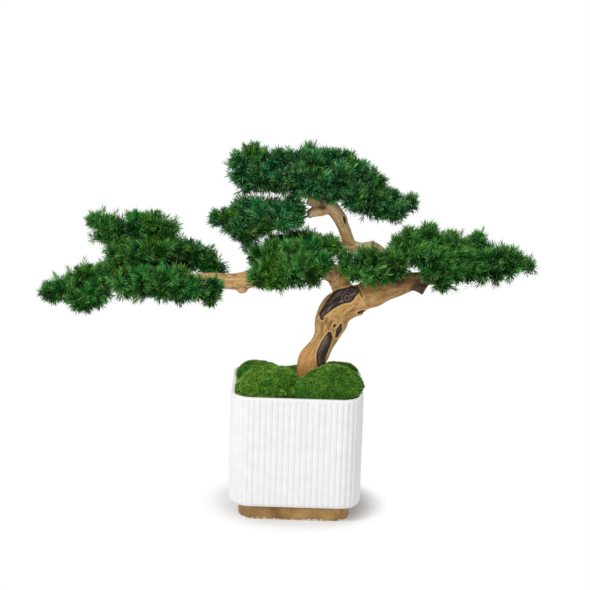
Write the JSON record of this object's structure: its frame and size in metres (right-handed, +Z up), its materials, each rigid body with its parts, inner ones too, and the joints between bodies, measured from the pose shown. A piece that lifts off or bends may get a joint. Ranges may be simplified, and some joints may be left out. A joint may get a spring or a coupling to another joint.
{
  "type": "artificial tabletop tree",
  "caption": "Artificial tabletop pine shaped as a spreading driftwood bonsai: wired needle pads on bare limbs, moss, and a reeded white planter on a gold foot.",
  "frame": {"origin": "middle of the flat face under the foot", "axes": "+Z up the planter, +X towards the tree's right limb as seen from the front, +Y from front to back"},
  "size_m": [0.7658, 0.206, 0.5757],
  "materials": {
    "white_glaze": "satin white glaze",
    "gilt": "satin gold paint",
    "plaster": "cast, matt",
    "foam": "dry cut foam, matt",
    "steel": "plain",
    "driftwood": "bare, weathered",
    "dowel_wood": "plain turned",
    "moss": "matt pile",
    "wire": "brown paper tape over the wire",
    "needles": "matt needles"
  },
  "bodies": {
    "base": {"planter_body": "white_glaze", "planter_foot": "gilt", "ballast": "plaster", "foam_block": "foam", "anchor_rod": "steel", "trunk": "driftwood", "left_limb": "driftwood", "right_limb": "driftwood", "top_limb": "driftwood", "left_limb_dowel": "dowel_wood", "right_limb_dowel": "dowel_wood", "top_limb_dowel": "dowel_wood", "moss_left_front": "moss", "moss_left_back": "moss", "moss_right_front": "moss", "moss_front_centre": "moss", "moss_right_back": "moss", "moss_back_centre": "moss"},
    "left_pad": {"left_pad_wire": "wire", "left_pad_tip_spray": "needles", "left_pad_crown_spray": "needles", "left_pad_heart_spray": "needles", "left_pad_front_spray": "needles", "left_pad_back_spray": "needles"},
    "crown_pad": {"crown_pad_wire": "wire", "crown_pad_left_spray": "needles", "crown_pad_front_spray": "needles", "crown_pad_top_spray": "needles", "crown_pad_right_spray": "needles"},
    "middle_pad": {"middle_pad_wire": "wire", "middle_pad_tip_spray": "needles", "middle_pad_front_spray": "needles", "middle_pad_back_spray": "needles"},
    "centre_pad": {"centre_pad_wire": "wire", "centre_pad_front_spray": "needles", "centre_pad_top_spray": "needles", "centre_pad_back_spray": "needles"},
    "right_pad": {"right_pad_wire": "wire", "right_pad_near_spray": "needles", "right_pad_crest_spray": "needles", "right_pad_tip_spray": "needles", "right_pad_back_spray": "needles"}
  },
  "joints": [
    {"name": "left_pad_turn", "type": "hinge", "parent": "base", "child": "left_pad", "pos_m": [-0.23, 0, 0.35], "axis": [-0.98, 0, -0.199], "range_deg": [-12, 12]},
    {"name": "crown_pad_turn", "type": "hinge", "parent": "base", "child": "crown_pad", "pos_m": [0.036, 0.001, 0.499], "axis": [0, 0, 1], "range_deg": [-15, 15]},
    {"name": "middle_pad_turn", "type": "hinge", "parent": "base", "child": "middle_pad", "pos_m": [0.01, -0.004, 0.468], "axis": [-0.9278, -0.174, -0.3299], "range_deg": [-12, 12]},
    {"name": "centre_pad_turn", "type": "hinge", "parent": "base", "child": "centre_pad", "pos_m": [-0.005, 0.004, 0.403], "axis": [0, 0, 1], "range_deg": [-8, 8]},
    {"name": "right_pad_turn", "type": "hinge", "parent": "base", "child": "right_pad", "pos_m": [0.235, 0, 0.383], "axis": [0.98, 0, 0.199], "range_deg": [-10, 10]}
  ]
}
